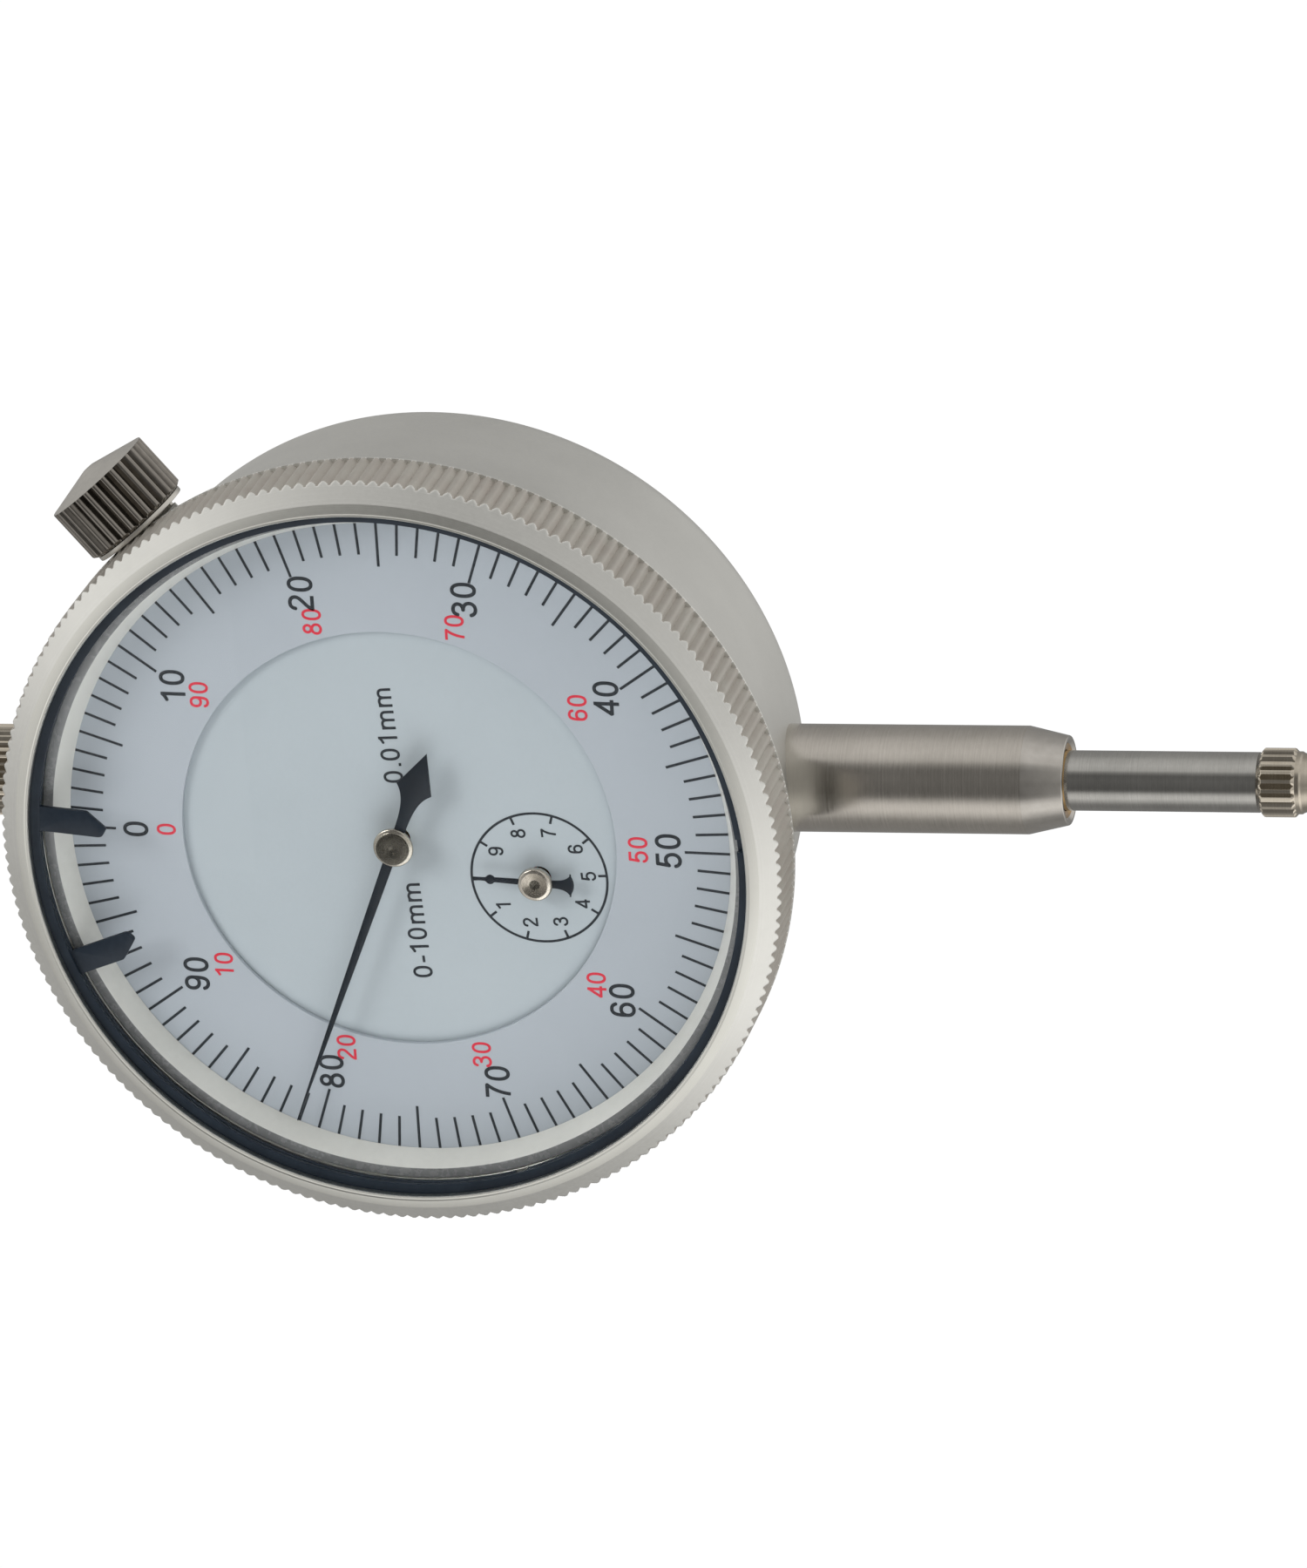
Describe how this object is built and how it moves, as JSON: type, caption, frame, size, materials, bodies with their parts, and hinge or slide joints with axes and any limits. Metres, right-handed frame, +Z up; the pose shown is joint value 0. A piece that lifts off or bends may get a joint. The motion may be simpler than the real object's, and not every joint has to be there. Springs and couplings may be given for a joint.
{
  "type": "dial indicator",
  "caption": "Plunger dial indicator with a round dial, rotating knurled bezel, limit hands, bezel clamp knob, clamping stem and lug back.",
  "frame": {"origin": "on the spindle axis, at the middle of the straight 8 mm clamping length of the stem", "axes": "+Z up along the spindle, away from the contact point; the dial faces -Y; +X is to the right of the dial"},
  "size_m": [0.059, 0.0387, 0.1075],
  "materials": {
    "satin_chrome": "satin, fine bead texture",
    "bezel_metal": "satin, turned",
    "stem_steel": "turned and polished",
    "polished_steel": "ground and polished",
    "contact_steel": "turned",
    "arbor_steel": "polished",
    "ball_steel": "polished",
    "knob_nickel": "nickel plated, knurled",
    "hub_nickel": "nickel plated, polished",
    "screw_steel": "turned",
    "spring_steel": "drawn wire",
    "bronze": "turned bronze",
    "brass": "milled",
    "gear_brass": "hobbed, polished",
    "ruby": "polished synthetic jewel",
    "dial_enamel": "satin enamel, pale blue-grey",
    "reflector_metal": "satin",
    "hand_black": "satin black",
    "limit_black": "gloss blue-black",
    "crystal_clear": "clear acrylic"
  },
  "bodies": {
    "case": {"case": "satin_chrome", "back_cover": "satin_chrome", "back_cover_screws": "screw_steel", "stem": "stem_steel", "lower_bush": "bronze", "upper_bush": "bronze", "front_plate": "brass", "front_plate_screws": "screw_steel", "pillars": "brass", "rear_plate": "brass", "pillar_screws": "screw_steel", "bridge": "brass", "bridge_posts": "brass", "bridge_screws": "screw_steel", "pivot_bushes": "ruby", "inner_dial": "dial_enamel", "hairspring": "spring_steel", "hairspring_stud": "brass", "guide_rail": "brass", "guide_rail_screws": "screw_steel", "return_spring": "spring_steel", "spring_post": "screw_steel", "bezel_retaining_wire": "spring_steel"},
    "spindle": {"spindle": "polished_steel", "contact_body": "contact_steel", "contact_ball": "ball_steel", "lifting_cap": "knob_nickel", "guide_pin": "polished_steel"},
    "centre_arbor": {"centre_pinion": "gear_brass", "main_hand": "hand_black", "main_hand_hub": "hub_nickel"},
    "rack_arbor": {"rack_pinion": "arbor_steel", "drive_gear": "gear_brass", "small_hand": "hand_black", "small_hand_hub": "hub_nickel"},
    "takeup": {"takeup_arbor": "arbor_steel", "takeup_gear": "gear_brass", "takeup_collet": "brass"},
    "bezel": {"bezel": "bezel_metal", "crystal": "crystal_clear", "scale_ring": "dial_enamel", "reflector_ring": "reflector_metal"},
    "limit_hand_a": {"limit_hand_a": "limit_black"},
    "limit_hand_b": {"limit_hand_b": "limit_black"},
    "clamp_plate": {"clamp_plate": "knob_nickel"},
    "clamp_knob": {"clamp_knob": "knob_nickel"}
  },
  "joints": [
    {"name": "spindle_slide", "type": "slide", "parent": "case", "child": "spindle", "axis": [0, 0, 1], "range_m": [0, 0.0103], "stiffness_N_per_m": 60, "springref_m": -0.012, "deforming": ["return_spring"]},
    {"name": "centre_arbor_turn", "type": "hinge", "parent": "case", "child": "centre_arbor", "pos_m": [0, -0.0123, 0.03665], "axis": [0, 1, 0], "range_deg": [-5, 3720]},
    {"name": "rack_arbor_turn", "type": "hinge", "parent": "case", "child": "rack_arbor", "pos_m": [-0.00305, -0.0123, 0.02637], "axis": [0, 1, 0], "range_deg": [-372, 1]},
    {"name": "takeup_turn", "type": "hinge", "parent": "case", "child": "takeup", "pos_m": [0.00305, -0.0123, 0.04693], "axis": [0, 1, 0], "range_deg": [-372, 1], "deforming": ["hairspring"]},
    {"name": "bezel_turn", "type": "hinge", "parent": "case", "child": "bezel", "pos_m": [0, -0.0123, 0.03665], "axis": [0, 1, 0], "continuous": true},
    {"name": "limit_hand_a_turn", "type": "hinge", "parent": "bezel", "child": "limit_hand_a", "pos_m": [0, -0.0123, 0.03665], "axis": [0, 1, 0], "continuous": true},
    {"name": "limit_hand_b_turn", "type": "hinge", "parent": "bezel", "child": "limit_hand_b", "pos_m": [0, -0.0123, 0.03665], "axis": [0, 1, 0], "continuous": true},
    {"name": "clamp_slide", "type": "slide", "parent": "case", "child": "clamp_plate", "axis": [0.7859, 0, 0.6184], "range_m": [0, 0.00039]},
    {"name": "clamp_turn", "type": "hinge", "parent": "clamp_plate", "child": "clamp_knob", "pos_m": [0.02358, -0.0084, 0.0552], "axis": [0.7859, 0, 0.6184], "range_deg": [-1, 352]}
  ],
  "couplings": [
    {"joint": "centre_arbor_turn", "follows": "spindle_slide", "rad_per_m": 6283.2},
    {"joint": "rack_arbor_turn", "follows": "spindle_slide", "rad_per_m": -628.32},
    {"joint": "takeup_turn", "follows": "spindle_slide", "rad_per_m": -628.32},
    {"joint": "clamp_turn", "follows": "clamp_slide", "rad_per_m": 15708}
  ]
}
